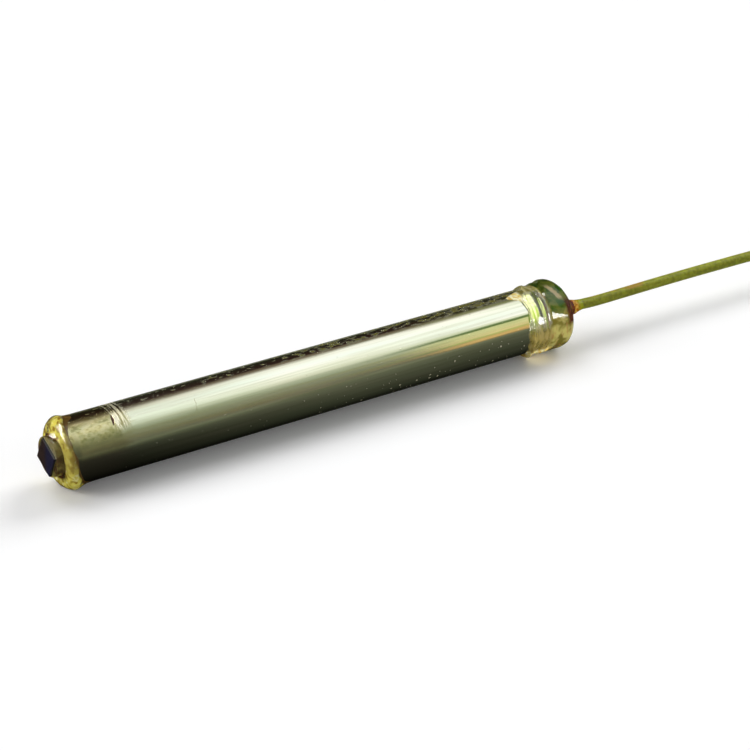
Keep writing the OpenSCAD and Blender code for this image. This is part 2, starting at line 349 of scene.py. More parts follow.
def by_angle(phi, stops):
    """Values round the axis through stops of (degrees, value), smooth and closed."""
    degrees = np.degrees(phi) % 360
    at = np.array([a % 360 for a, _ in stops], float)
    values = np.array([v for _, v in stops], float)
    order = np.argsort(at)
    at, values = at[order], values[order]
    at = np.concatenate([at[-1:] - 360, at, at[:1] + 360])
    values = np.concatenate([values[-1:], values, values[:1]])
    k = np.searchsorted(at, degrees, side="right") - 1
    share = smooth_step(degrees, at[k], at[k + 1])
    return values[k] + (values[k + 1] - values[k]) * share


def smooth_curve(p, steps):
    """Points of a smooth curve through all of p but its first and last."""
    out = []
    for i in range(len(p) - 3):
        a, b, c, d = p[i:i + 4]
        for t in np.arange(steps) / steps:
            out.append(0.5 * (2 * b + (c - a) * t + (2 * a - 5 * b + 4 * c - d) * t ** 2
                              + (3 * b - a - 3 * c + d) * t ** 3))
    out.append(p[-2])
    return out


def along_route(route, steps=4):
    """Points of a smooth curve along a route, straight at both ends."""
    p = np.array(route, float)
    return smooth_curve(np.vstack([2 * p[0] - p[1], p, 2 * p[-1] - p[-2]]), steps)


def along_profile(stops, steps=4):
    """Smooth profiles through stops of (station, radius), all round the axis at once."""
    p = np.array([np.stack(np.broadcast_arrays(*stop), axis=-1) for stop in stops], float)
    return smooth_curve(np.concatenate([p[:1], p, p[-1:]]), steps)


# ---------------------------------------------------------------- the fiber, a cord

def coil_path(per_turn=48, step_at=300, step_arc=30):
    """The wound turns: each lies in a place of its own, and steps to the next place within
    the same short arc. Angles run clockwise, seen from above, from where the lead comes in."""
    places = []
    for layer in range(COIL_LAYERS):
        row = COIL_RADII if layer % 2 == 0 else COIL_RADII[::-1]
        places += [(r, COIL_Z + layer * FIBER_D) for r in row]
    points = []
    for i in range(1, int(COIL_TURNS * per_turn)):
        turned = 360 * i / per_turn
        nearest = max(0, min(len(places) - 2, round((turned - step_at) / 360)))
        share = smooth_step(turned - step_at - 360 * nearest, -step_arc / 2, step_arc / 2)
        (r0, z0), (r1, z1) = places[nearest], places[nearest + 1]
        r, z = r0 + (r1 - r0) * share, z0 + (z1 - z0) * share
        a = math.radians(turned)
        points.append((COIL_X + r * math.sin(a), COIL_Y + r * math.cos(a), z))
    return points


def tube(name, path, radius, sides):
    """A round tube along a path, with its ends capped."""
    path = np.array(path, float)
    along = np.gradient(path, axis=0)
    along /= np.linalg.norm(along, axis=1)[:, None]
    up = np.array([0, 0, 1.0]) - along * along[:, 2:3]
    up /= np.linalg.norm(up, axis=1)[:, None]
    side = np.cross(along, up)
    a = turn_angles(sides)[None, :, None]
    rings = path[:, None] + radius * (np.cos(a) * side[:, None] + np.sin(a) * up[:, None])
    return skin(name, rings)


def fiber_look():
    look = Look("fiber_coat_look", Roughness=0.4, Coat_Weight=0.1, Coat_Roughness=0.2,
                Subsurface_Weight=0.12, Subsurface_Scale=0.0003)
    blotch = look.noise(1.1, (0.55, 1, 1), detail=3, shift=2.0)
    grain = look.noise(0.18, detail=4, shift=5.0)
    tone = grain.ramp(0.35, 0.65).mix((0.19, 0.205, 0.005), (0.29, 0.32, 0.012))
    tone = blotch.ramp(0.56, 0.68).mix(tone, (0.36, 0.21, 0.015))
    look.set(Base_Color=tone, Normal=grain.bump(0.01))
    return look


coil_start = (COIL_X, 0, COIL_Z)
coil_end = (COIL_X, PLUG_Y, COIL_Z + (COIL_LAYERS - 1) * FIBER_D)
fiber_path = (along_route(LEAD_ROUTE + [coil_start]) + coil_path()
              + along_route([coil_end] + TAIL_ROUTE))
fiber = tube("fiber_pigtail", fiber_path, FIBER_R, FIBER_SIDES)
coat_look = fiber_look()
finish_piece(fiber, "fiber_coat", coat_look, "fiber_lead", "fiber_coil", "fiber_tail")
[[c * MM for c in p] for p in fiber_path]
for node in ("fiber_held", "plug_buffer"):
    dress(node, coat_look)


# ---------------------------------------------------------------- the sleeve

def sleeve_dent(x, phi):
    """Depth of the nick and of the scratches beside it, on the sleeve's outside."""
    arc = np.degrees(phi) - NICK_PHI
    lean = NICK_X + NICK_LEAN * arc
    slit = 0.035 * np.clip(1 - np.abs(x - lean) / 0.075, 0, 1) * np.exp(-(arc / 11) ** 4)
    dish = 0.014 * hill(x, NICK_X + 0.22, 0.14) * np.exp(-((arc - 2) / 15) ** 4)
    patch = hill(x, NICK_X + 0.36, 0.32) * np.exp(-((arc - 5) / 24) ** 4)
    grooves = 0.0004 * np.sin(95 * (x - 0.012 * arc)) + 0.0004 * np.sin(61 * x + 0.9 * arc)
    return slit + dish + patch * grooves


def build_sleeve():
    """The tube, with finer faces round the nick."""
    near, far, fine, edge = NICK_X - 0.3, NICK_X + 1.0, 0.02, 0.02
    stations = np.unique(np.round(np.concatenate([
        np.linspace(0, near, 6), np.arange(near, far, fine),
        np.linspace(far, SLEEVE_LEN, 40)]), 4))
    angles = np.radians(np.unique(np.round(np.concatenate([
        np.arange(0, 360, 3.0), np.arange(NICK_PHI - 30, NICK_PHI + 33, 0.75)]), 4)))
    stations[0], stations[-1] = edge, SLEEVE_LEN - edge
    grid_x, grid_phi = np.meshgrid(stations, angles, indexing="ij")
    outer = around(grid_x, SLEEVE_R - sleeve_dent(grid_x, grid_phi), grid_phi)
    mouth = BORE_R + SLEEVE_CHAMFER
    rest = [(SLEEVE_LEN - edge * 0.3, SLEEVE_R - edge * 0.3), (SLEEVE_LEN, SLEEVE_R - edge),
            (SLEEVE_LEN, mouth), (SLEEVE_LEN - SLEEVE_CHAMFER, BORE_R),
            (SLEEVE_LEN / 2, BORE_R), (SLEEVE_CHAMFER, BORE_R), (0, mouth),
            (0, SLEEVE_R - edge), (edge * 0.3, SLEEVE_R - edge * 0.3)]
    rings = list(outer) + [around(x, r, angles) for x, r in rest]
    return skin("sleeve_tube", rings, closed=True, sharp=50)


def sleeve_look():
    look = Look("sleeve_metal_look", Metallic=1.0)
    station, across, height, turned = look.places()
    long_streak = look.noise(0.16, (0.02, 1, 1), detail=4, rough=0.6, shift=1.0)
    wide_streak = look.noise(0.9, (0.06, 1, 1), detail=4, shift=4.0)
    mottle = look.noise(0.30, (0.45, 1, 1), detail=2, shift=8.0)
    fine_mottle = look.noise(0.17, (0.6, 1, 1), detail=3, rough=0.6, shift=3.0)
    tone = wide_streak.ramp(0.3, 0.7).mix((0.88, 0.82, 0.69), (0.72, 0.80, 0.60))
    tone = long_streak.ramp(0.40, 0.68).mix(tone, (0.66, 0.68, 0.50))
    # resin smears over the metal between the bead and the nick
    smeared = mottle.ramp(0.30, 0.70).mix((0.38, 0.385, 0.17), (0.58, 0.53, 0.25))
    smeared = fine_mottle.ramp(0.42, 0.62, 0.0, 0.5).mix(smeared, (0.70, 0.66, 0.42))
    smeared = fine_mottle.ramp(0.48, 0.34, 0.0, 0.45).mix(smeared, (0.20, 0.17, 0.07))
    # lighter towards the bottom of the sleeve
    smeared = turned.ramp(42.0, 22.0, 0.0, 0.85).mix(smeared, (0.61, 0.61, 0.40))
    smeared = turned.ramp(14.0, 0.0, 0.0, 0.85).mix(smeared, (0.86, 0.76, 0.66))
    reach = station + mottle.ramp(0.3, 0.7, -0.35, 0.35)
    tone = reach.ramp(3.1, 1.9).mix(tone, smeared)
    # the scratches that run round the sleeve beside the nick
    beside = station.ramp(2.0, 2.4) * station.ramp(3.05, 2.7) * turned.ramp(30.0, 52.0)
    scratch = look.noise(0.07, (1, 0.10, 0.10), detail=2, rough=0.6, shift=12.0)
    streak = scratch.ramp(0.44, 0.56)
    tone = (beside * 0.8).mix(tone, streak.mix((0.30, 0.28, 0.11), (0.88, 0.84, 0.60)))
    # the nick, with painted shade in its slit and a painted highlight on its bright facet, and
    # a hairline scratch
    from_nick = turned - NICK_PHI
    past_slit = station - (from_nick * NICK_LEAN + NICK_X)
    taper = from_nick * from_nick * 0.0005
    slit = (taper + abs(past_slit)).ramp(0.085, 0.045)
    # a painted highlight on the bright facet beside the slit
    facet_highlight = (taper + abs(past_slit - 0.18)).ramp(0.15, 0.08, 0.0, 0.55)
    tone = facet_highlight.mix(tone, (0.96, 0.93, 0.74))
    hair_x = fine_mottle.ramp(0.2, 0.8, HAIR_X - 0.12, HAIR_X + 0.12)
    hair = (abs(station - hair_x).ramp(0.025, 0.010) * turned.ramp(33.0, 38.0)
            * turned.ramp(60.0, 54.0))
    tone = (hair * 0.6).mix(tone, (0.30, 0.26, 0.10))
    # painted shade: the slit's dark colour
    tone = slit.mix(tone, (0.06, 0.022, 0.008))
    # spots of dirt on the back and the top
    cloud = look.noise(2.2, (0.35, 1, 1), detail=1, shift=9.0)
    grime = look.noise(0.17, (0.45, 1, 1), detail=2.5, rough=0.55, shift=8.0)
    dirt_level = station.ramp(5.0, 13.0, 0.16, 0.0) + cloud.ramp(0.3, 0.7, 0.06, -0.06)
    dirt = ((grime - dirt_level).ramp(0.46, 0.60) * across.ramp(-0.40, -0.10)
            * height.ramp(-0.2, 0.6))
    tone = dirt.mix(tone, (0.20, 0.185, 0.035))
    # grains of dust in two sizes on the rear half
    grain_r = station.ramp(6.0, 18.0, 0.03, 0.115) * height.ramp(0.7, -0.1, 0.3, 1.0)
    coarse, fine = ((look.cells(size) - grain_r * share).ramp(0.015, -0.015)
                    for size, share in ((0.45, 1.0), (0.26, 0.75)))
    dust = coarse.most(fine)
    tone = dust.mix(tone, (0.46, 0.42, 0.28))
    soiled = (dirt * 0.5).most(dust).most(slit * 0.85).most(beside * streak * 0.35)
    satin = station.ramp(2.0, 17.0, 0.20, 0.085) + long_streak.ramp(0.3, 0.7, -0.03, 0.04)
    look.set(Base_Color=tone, Metallic=1.0 - soiled, Roughness=satin + soiled * 0.4,
             Normal=dust.bump(0.03, long_streak.bump(0.0022)))
    return look


finish_piece(build_sleeve(), "sleeve_metal", sleeve_look(), "sleeve")


# ---------------------------------------------------------------- the front bead

def build_bead():
    """The bead's face, its round lip, its fall to the sleeve and the thin film beyond. Its
    shape round the rim is uneven, as the photo shows it."""
    phi = turn_angles(RESIN_SIDES)
    front = by_angle(phi, [(90, -0.32), (60, -0.31), (20, -0.29), (-25, -0.25), (-62, -0.13),
                           (-110, -0.18), (-170, -0.16), (140, -0.15)])
    climb = by_angle(phi, [(92, -0.50), (75, -0.44), (60, -0.32), (45, -0.27), (20, -0.27),
                           (-25, -0.25), (-62, -0.14), (-110, -0.2), (180, -0.2), (130, -0.30)])
    back = by_angle(phi, [(120, 0.62), (95, 0.32), (77, 0.11), (58, -0.01), (46, -0.05),
                          (34, -0.02), (14, 0.09), (-12, 0.16), (-38, 0.44), (-60, 0.92),
                          (-85, 0.60), (-120, 0.34), (-150, 0.28), (165, 0.42)])
    lip_r = by_angle(phi, [(105, 1.60), (75, 1.60), (45, 1.545), (15, 1.55), (-20, 1.60),
                           (-60, 1.66), (-90, 1.635), (-130, 1.62), (170, 1.59)])
    face_r = lip_r - LIP_DEPTH
    crest = np.minimum(back - 0.13 - 0.05 * (lip_r - 1.55) / 0.1, 0.22)
    film = back + 0.04 + 0.36 * hill_round(phi, 97, 24) + 0.16 * hill_round(phi, -58, 22)
    film = film + 0.03 * ripples(0, phi, 11, 8, 14, 0)
    # each ring has a station, a radius, and the shares of the lumps along and outwards
    rings = []
    for share in np.linspace(0, 1, 9):
        r = FERRULE_R - LAP + share * (face_r - FERRULE_R + LAP)
        groove = 0.05 * math.exp(-(share / 0.2) ** 2)
        rings.append((climb + (front - climb) * smooth_step(share, 0.1, 1.0) + groove, r,
                      0.2 + 0.8 * share, 1.0))
    for a in np.radians(np.linspace(8, 90, 16)):
        rings.append((crest - (crest - front) * math.cos(a),
                      face_r + LIP_DEPTH * math.sin(a), 1.0, 1.0))
    for share in np.linspace(0.1, 1, 10):
        fall = smooth_step(share, 0, 1)
        rings.append((crest + (back - crest) * share,
                      lip_r + (SLEEVE_R + FILM_T - lip_r) * fall, 1.0 - 0.6 * share,
                      1 - 0.85 * share))
    for share in np.linspace(0.1, 1, 12):
        rings.append((back + (film - back) * share,
                      SLEEVE_R + FILM_T * (1 - share ** 2) - THIN_LAP, 0.3 * (1 - share), 0.12))
    out = []
    for x, r, sideways, proud in rings:
        lump = 0.022 * ripples(x, phi, 21, 12, 6, 5) + 0.010 * ripples(x, phi, 22, 14, 15, 12)
        out.append(around(x + 0.5 * lump * sideways, above_floor(r + lump * proud, phi), phi))
    # back along the sleeve, round its rim and along the ferrule
    inner = [(SLEEVE_CHAMFER, SLEEVE_R - DEEP_LAP), (THIN_LAP, SLEEVE_R - DEEP_LAP),
             (THIN_LAP, BORE_R + SLEEVE_CHAMFER), (SLEEVE_CHAMFER, BORE_R + LAP),
             (BEAD_DEPTH, BORE_R + LAP), (BEAD_DEPTH, FERRULE_R - LAP)]
    out += [around(x, r, phi) for x, r in inner]
    return skin("front_bead_resin", out, closed=True, sharp=60)


def bead_look():
    look = Look("yellow_resin_look", Roughness=0.22, IOR=1.53, Subsurface_Weight=0.35,
                Subsurface_Scale=0.0003, Subsurface_Radius=(1.0, 0.8, 0.25),
                Coat_Weight=1.0, Coat_Roughness=0.05)
    station, across, height, turned = look.places()
    patch = look.noise(0.42, detail=1.5, distort=0.4, shift=1.0)
    fleck = look.noise(0.22, detail=1.5, shift=6.0)
    tone = patch.ramp(0.40, 0.58).mix((0.27, 0.20, 0.03), (0.66, 0.58, 0.10))
    tone = fleck.ramp(0.55, 0.70).mix(tone, (0.80, 0.76, 0.34))
    tone = fleck.ramp(0.46, 0.34).mix(tone, (0.28, 0.17, 0.02))
    # painted shade in the groove round the ferrule; the bead's waist darker on its near side;
    # brown in the thin film
    from_axis = (across ** 2.0 + height ** 2.0) ** 0.5
    tone = from_axis.ramp(1.14, 0.98).mix(tone, (0.10, 0.035, 0.015))
    waist = turned.ramp(66.0, 40.0) * turned.ramp(-35.0, 0.0)
    tone = (waist * 0.6).mix(tone, (0.20, 0.15, 0.03))
    thin = from_axis.ramp(1.565, 1.52) * station.ramp(-0.06, 0.04)
    tone = thin.mix(tone, (0.10, 0.055, 0.012))
    look.set(Base_Color=tone, Coat_Weight=1.0 - thin, Normal=fleck.bump(0.008))
    return look


finish_piece(build_bead(), "yellow_resin", bead_look(), "front_bead")


# ---------------------------------------------------------------- the resin at the rear end

def build_rear_resin():
    """The collar with its two ridges, which lie further forward at the bottom than on top,
    the dome behind it, and the plug inside the sleeve."""
    phi = turn_angles(RESIN_SIDES)
    wander = 0.03 * ripples(0, phi, 31, 8, 9, 0)
    ridge_1 = wander + by_angle(phi, [(120, 24.52), (90, 24.02), (57, 23.74), (20, 23.66),
                                      (-20, 23.68), (-60, 23.88), (-120, 24.0), (180, 24.3)])
    ridge_2 = by_angle(phi, [(120, 25.06), (90, 24.70), (63, 24.42), (20, 24.34), (-20, 24.36),
                             (-60, 24.50), (-120, 24.6), (180, 24.8)]) - 0.5 * wander
    neck = ridge_2 + 0.26
    tongue = 0.72 * hill_round(phi, 83, 11)
    feather = ridge_1 - 0.24 - tongue + 0.04 * ripples(0, phi, 32, 8, 14, 0)
    full = by_angle(phi, [(120, 1.60), (60, 1.575), (20, 1.57), (-25, 1.61), (-60, 1.70),
                          (-90, 1.64), (-140, 1.62), (170, 1.60)])
    belly = by_angle(phi, [(120, 1.66), (60, 1.61), (10, 1.60), (-40, 1.65), (-90, 1.64),
                           (-150, 1.62)])
    tip = by_angle(phi, [(90, 26.32), (20, 26.24), (-40, 26.16), (-100, 26.10), (180, 26.22)])
    power = by_angle(phi, [(90, 2.1), (20, 2.6), (-50, 3.1), (-120, 2.6), (170, 2.1)])
    stops = [(feather, SLEEVE_R - LAP), (feather + 0.08, SLEEVE_R + 0.014),
             (ridge_1 - 0.16, SLEEVE_R + 0.024), (ridge_1 - 0.08, full - 0.05),
             (ridge_1, full + 0.02), (ridge_1 + 0.12, full - 0.03),
             ((ridge_1 + ridge_2) / 2, full - 0.06), (ridge_2 - 0.10, full - 0.04),
             (ridge_2, full - 0.01), (ridge_2 + 0.10, full - 0.03), (neck, full - 0.04),
             (neck + 0.10, belly - 0.03), (neck + 0.22, belly), (BELLY_END + 0.0 * phi, belly)]
    # each ring has a station, a radius and a share of the lumps, which stay off the thin edge
    rings = [(q[:, 0], q[:, 1], 0.0 if i < 5 else 0.25 if i < 12 else 1.0)
             for i, q in enumerate(along_profile(stops))]
    for t in np.linspace(0.06, 0.985, 20):
        closed_by = 1 - (1 - t ** power) ** (1 / power)
        rings.append((BELLY_END + (tip - BELLY_END) * t,
                      belly + (DOME_MOUTH_R - belly) * closed_by, 1.0))
    rings += [(tip + 0.02, DOME_MOUTH_R, 0.3), (tip + 0.05, TUBE_R - LAP, 0.0)]
    out = []
    for x, r, proud in rings:
        lump = 0.013 * ripples(x, phi, 41, 12, 6, 4) + 0.007 * ripples(x, phi, 42, 14, 16, 10)
        out.append(around(x, above_floor(r + lump * proud, phi), phi))
    # round the plug inside the sleeve, and back over the sleeve's rim
    plug_start = SLEEVE_LEN - PLUG_DEPTH
    inner = [(plug_start, TUBE_R - LAP), (plug_start, BORE_R + THIN_LAP),
             (SLEEVE_LEN - SLEEVE_CHAMFER, BORE_R + THIN_LAP),
             (SLEEVE_LEN - LAP, BORE_R + SLEEVE_CHAMFER),
             (SLEEVE_LEN - LAP, SLEEVE_R - DEEP_LAP)]
    out += [around(x, r, phi) for x, r in inner]
    return skin("rear_resin", out, closed=True, sharp=60)


def resin_look():
    look = Look("clear_resin_look", Roughness=0.04, IOR=1.5, Specular_IOR_Level=0.38,
                Subsurface_Weight=0.3, Subsurface_Scale=0.0004,
                Subsurface_Radius=(1.0, 0.85, 0.3))
    station, _, _, turned = look.places()
    swirl = look.noise(0.5, detail=2, distort=0.4, shift=2.0)
    small = look.noise(0.16, detail=2, shift=7.0)
    specks = look.noise(0.20, (1, 0.4, 0.4), detail=2, shift=4.0)
    begins = station + small.ramp(0.3, 0.7, -0.03, 0.03)
    tone = swirl.ramp(0.38, 0.62).mix((0.14, 0.12, 0.02), (0.38, 0.34, 0.10))
    tone = specks.ramp(0.54, 0.68, 0.0, 0.55).mix(tone, (0.26, 0.11, 0.04))
    # painted light where the dome curves away: pale, as the white floor seen through its edge
    rim = station.ramp(25.70, 26.0) * turned.ramp(14.0, -6.0)
    tone = rim.mix(tone, (0.52, 0.52, 0.30))
    # dark green painted shade on the upper half, where the dark inside shows through the resin
    upper_half = (turned + swirl.ramp(0.3, 0.7, -10.0, 10.0)).ramp(20.0, 32.0)
    dark_inside_shade = begins.ramp(24.66, 24.82) * upper_half
    tone = dark_inside_shade.mix(tone, swirl.ramp(0.40, 0.60).mix((0.022, 0.066, 0.004),
                                                     (0.09, 0.11, 0.015)))
    # a painted highlight, as a pale pink stripe on the upper half
    cream_highlight = (abs(begins + turned * 0.008 - 25.86).ramp(0.16, 0.06) * turned.ramp(46.0, 54.0)
             * turned.ramp(88.0, 76.0))
    tone = (cream_highlight * 0.85).mix(tone, (0.38, 0.30, 0.15))
    # maroon round the tube
    near_tube = (begins.ramp(25.50, 25.75) * turned.ramp(-4.0, 8.0)
                 * turned.ramp(56.0, 40.0))
    tone = near_tube.mix(tone, (0.060, 0.016, 0.008))
    # over the sleeve's end the resin is thin and clear, with green streaks round it
    streaks = look.noise(0.16, (1, 0.12, 0.12), detail=2, shift=9.0)
    thin = streaks.ramp(0.50, 0.60).mix((1.0, 1.0, 0.72), (0.58, 0.74, 0.16))
    below = specks.ramp(0.36, 0.64).mix((0.24, 0.19, 0.04), (0.46, 0.36, 0.12))
    thin = turned.ramp(30.0, -2.0).mix(thin, below)
    on_top = turned.ramp(72.0, 86.0)
    above = specks.ramp(0.40, 0.60).mix((0.30, 0.26, 0.07), (0.66, 0.60, 0.28))
    thin = on_top.mix(thin, above)
    over_sleeve = begins.ramp(24.72, 24.58)
    tone = over_sleeve.mix(tone, thin)
    # a golden tongue on top and an amber foot are cloudy
    tongue = station.ramp(23.84, 23.66) * turned.ramp(60.0, 72.0)
    foot = turned.ramp(-34.0, -46.0) * station.ramp(25.0, 24.7)
    cloudy = tongue.most(foot)
    golden = specks.ramp(0.36, 0.62).mix((0.56, 0.32, 0.04), (0.86, 0.68, 0.22))
    golden = small.ramp(0.46, 0.60).mix(golden, (0.88, 0.82, 0.46))
    tone = cloudy.mix(tone, golden)
    clear = (over_sleeve * turned.ramp(-4.0, 30.0, 0.3, 0.6)
             * on_top.ramp(0.0, 1.0, 1.0, 0.3) + 0.34)
    look.set(Base_Color=tone, Transmission_Weight=clear * (1.0 - cloudy * 0.8),
             Normal=small.bump(0.006, swirl.bump(0.02)))
    return look


finish_piece(build_rear_resin(), "clear_resin", resin_look(), "rear_collar", "rear_dome")


# ---------------------------------------------------------------- tube root and fillet

def build_turned(name, shape, lump_at):
    """A small turned piece. lump_at gives the height of its lumps at a station and radius."""
    phi = turn_angles(SMALL_SIDES)
    rings = [around(x, r + lump_at(x, r, phi), phi) for x, r in shape]
    return skin(name, rings, closed=True, sharp=50)


def tube_lump(x, r, phi):
    flared = 25.9 < x < TUBE_SHOWN - 0.04
    return (0.015 if flared else 0.0) * ripples(x, phi, 51, 10, 6, 10)


def fillet_lump(x, r, phi):
    return (0.012 if r > FIBER_R + 0.01 else 0.0) * ripples(x, phi, 61, 10, 5, 12)


tube_start = TUBE_END - TUBE_LEN
TUBE_SHAPE = [(tube_start, TUBE_R), (25.6, TUBE_R), (26.0, 0.44), (26.15, 0.60), (26.28, 0.62),
              (26.40, 0.54), (26.52, 0.47), (26.66, 0.42), (26.80, 0.39),
              (TUBE_SHOWN - 0.02, 0.37), (TUBE_SHOWN, 0.34), (TUBE_SHOWN, FIBER_R),
              (tube_start, FIBER_R)]
FILLET_SHAPE = [(TUBE_SHOWN + x, r) for x, r in [
    (-0.06, 0.32), (-0.04, 0.384), (0.05, 0.37), (0.16, 0.33), (0.28, 0.29), (0.42, 0.265),
    (0.55, FIBER_R + 0.002), (0.55, FIBER_R - THIN_LAP), (-0.06, FIBER_R - THIN_LAP)]]

tube_look = two_toned("brown_tube_look", {"size": 0.3, "detail": 4, "shift": 3.0},
                      (0.10, 0.018, 0.008), (0.26, 0.065, 0.015), 0.35, 0.65, 0.02,
                      Roughness=0.25, Coat_Weight=0.5, Coat_Roughness=0.1,
                      Subsurface_Weight=0.1, Subsurface_Scale=0.0002)
finish_piece(build_turned("relief_tube_root", TUBE_SHAPE, tube_lump), "brown_tube", tube_look,
             "relief_tube")


def fillet_look():
    """Orange, and green where the resin thins out over the fiber."""
    look = Look("orange_resin_look", Roughness=0.15, Coat_Weight=0.6, Coat_Roughness=0.05,
                Subsurface_Weight=0.25, Subsurface_Scale=0.0002)
    station = look.places()[0]
    spark = look.noise(0.13, detail=3, shift=4.0)
    tone = spark.ramp(0.4, 0.62).mix((0.55, 0.17, 0.01), (0.78, 0.48, 0.07))
    tone = station.ramp(TUBE_SHOWN + 0.14, TUBE_SHOWN + 0.40).mix(tone, (0.42, 0.40, 0.015))
    look.set(Base_Color=tone, Normal=spark.bump(0.03))
    return look


finish_piece(build_turned("fiber_fillet_resin", FILLET_SHAPE, fillet_lump), "orange_resin",
             fillet_look(), "fiber_fillet")


# ---------------------------------------------------------------- the CAD's own pieces

def silicon_look():
    look = Look("silicon_look", Roughness=0.3, IOR=1.8, Specular_IOR_Level=0.2)
    across = look.places()[1]
    haze = look.noise(0.25, detail=3, shift=2.0)
    tone = (across + haze * 0.15).ramp(-0.1, 0.25).mix((0.012, 0.011, 0.03),
                                                       (0.022, 0.012, 0.010))
    look.set(Base_Color=tone, Normal=haze.bump(0.002))
    return look


def plug_metal_look():
    look = Look("plug_metal_look", Metallic=1.0, Roughness=0.25)
    lathe = look.noise(0.05, (1, 0.05, 0.05), detail=3, shift=1.0)
    look.set(Base_Color=lathe.ramp(0.3, 0.7).mix((0.56, 0.57, 0.57), (0.68, 0.69, 0.69)),
             Roughness=lathe.ramp(0.3, 0.7, 0.2, 0.32), Normal=lathe.bump(0.004))
    return look


dress("die_silicon", silicon_look())
dress("plug_body", plug_metal_look())
dress("ferrule", two_toned(
    "ferrule_look", {"size": 0.5, "detail": 4, "shift": 1.0}, (0.075, 0.045, 0.014),
    (0.26, 0.22, 0.06), 0.35, 0.65, 0.01, Roughness=0.22, IOR=1.5, Coat_Weight=0.4,
    Coat_Roughness=0.08, Subsurface_Weight=0.2, Subsurface_Scale=0.0003))
dress("die_glass", two_toned(
    "chip_glass_look", {"size": 0.06, "scale": (1, 1, 0.2), "detail": 4, "shift": 2.0},
    (0.010, 0.010, 0.008), (0.028, 0.030, 0.016), depth=0.004, Roughness=0.45, IOR=1.5,
    Specular_IOR_Level=0.2))
dress("die_bond", two_toned(
    "adhesive_look", {"size": 0.15, "detail": 3, "shift": 5.0}, (0.09, 0.07, 0.02),
    (0.18, 0.15, 0.05), Roughness=0.3, IOR=1.5, Coat_Weight=0.3))
dress("coil_ties", two_toned(
    "tie_film_look", {"size": 0.2, "detail": 5, "rough": 0.6, "shift": 2.0},
    (0.70, 0.70, 0.66), (0.82, 0.82, 0.79), depth=0.02, Roughness=0.55))
dress("plug_boot", two_toned(
    "boot_rubber_look", {"size": 0.12, "detail": 5, "rough": 0.6, "shift": 3.0},
    (0.030, 0.032, 0.036), (0.055, 0.057, 0.062), depth=0.015, Roughness=0.6,
    Specular_IOR_Level=0.35))
dress("plug_ferrule", two_toned(
    "plug_ceramic_look", {"size": 0.8, "detail": 2, "shift": 1.0}, (0.80, 0.78, 0.73),
    (0.86, 0.85, 0.81), Roughness=0.12, IOR=1.9, Subsurface_Weight=0.2,
    Subsurface_Scale=0.0005))
core_look = two_toned(
    "fiber_core_look", {"size": 0.4, "detail": 2, "shift": 1.0}, (0.78, 0.84, 0.80),
    (0.88, 0.92, 0.88), Roughness=0.08, IOR=1.46, Transmission_Weight=0.7)
for node in ("fiber_glass", "plug_glass"):
    dress(node, core_look)


# ---------------------------------------------------------------- floor

FLOOR_HALF = 1500.0
FLOOR_COLOUR = (0.95, 0.95, 0.955)
FLOOR_LIFT = 0.06
# the mirrored floor's brightness, in its painted shadow next to the sensor and far from it
GLOSS_NEAR = 0.010
GLOSS_FAR = 0.19
FLOOR_IN_GLASS = 0.50
WHITE = (1.0, 1.0, 1.0)


def floor_look():
    """Pale, and a little lifted for the camera. Polished metal mirrors a dim floor, with a
    painted shadow that darkens it towards the sensor and painted shade that darkens it towards
    the sensor's front end."""
    material = bpy.data.materials.new("floor_look")
    nodes = Nodes(material)
    nodes.tree.nodes.clear()
    camera_ray, glossy_ray, through_ray = nodes.rays()
    diffuse = nodes.field("ShaderNodeBsdfDiffuse", 0, {"Color": FLOOR_COLOUR})
    lifted = nodes.field("ShaderNodeAddShader", 0, {
        0: diffuse, 1: nodes.emission(WHITE, FLOOR_LIFT)})
    x, y, _ = nodes.field("ShaderNodeTexCoord", "Object").parts()
    away = nodes.math("LOGARITHM", abs(y) * (1 / MM), 10)
    # painted shadow round the sensor and painted shade at its front end, in the floor that the
    # metal mirrors
    dim = (away.ramp(-0.05, 1.5, GLOSS_NEAR, GLOSS_FAR, "LINEAR")
           * x.ramp(3.0 * MM, 15.0 * MM, 0.22, 1.0, "LINEAR"))
    seen = nodes.mix_shaders(camera_ray, diffuse, lifted)
    seen = nodes.mix_shaders(glossy_ray, seen, nodes.emission((1.0, 1.05, 0.76), dim))
    seen = nodes.mix_shaders(through_ray, seen,
                             nodes.emission((1.0, 0.98, 0.90), FLOOR_IN_GLASS))
    nodes.node("ShaderNodeOutputMaterial", {"Surface": seen})
    return material


floor_mesh = bpy.data.meshes.new("floor")
floor_mesh.from_pydata([(sx * FLOOR_HALF * MM, sy * FLOOR_HALF * MM, (FLOOR_Z - FLOOR_GAP) * MM)
                        for sx, sy in ((-1, -1), (1, -1), (1, 1), (-1, 1))],
                       [], [(0, 1, 2, 3)])
floor_mesh.materials.append(floor_look())
floor = bpy.data.objects.new("floor", floor_mesh)
bpy.context.scene.collection.objects.link(floor)


# ---------------------------------------------------------------- world

WORLD_AMBIENT = 0.28
LIFT_LOW = -30.0
LIFT_HIGH = 210.0

# The mirrored sky over the sensor, as (degrees up from -Y, red, green, blue): the softbox
# overhead, over a slow fall to the dark, with a dark wall behind
MAIN_SKY = [(-20, 0.13, 0.14, 0.11), (2, 0.165, 0.17, 0.125), (16, 0.215, 0.23, 0.17),
            (30, 0.28, 0.30, 0.23), (44, 0.50, 0.54, 0.44), (55, 0.86, 0.89, 0.78),
            (68, 1.2, 1.22, 1.2), (90, 1.25, 1.27, 1.4), (110, 1.2, 1.2, 1.25),
            (126, 0.22, 0.17, 0.13), (138, 0.03, 0.013, 0.012), (170, 0.02, 0.019, 0.012),
            (200, 0.03, 0.028, 0.02)]
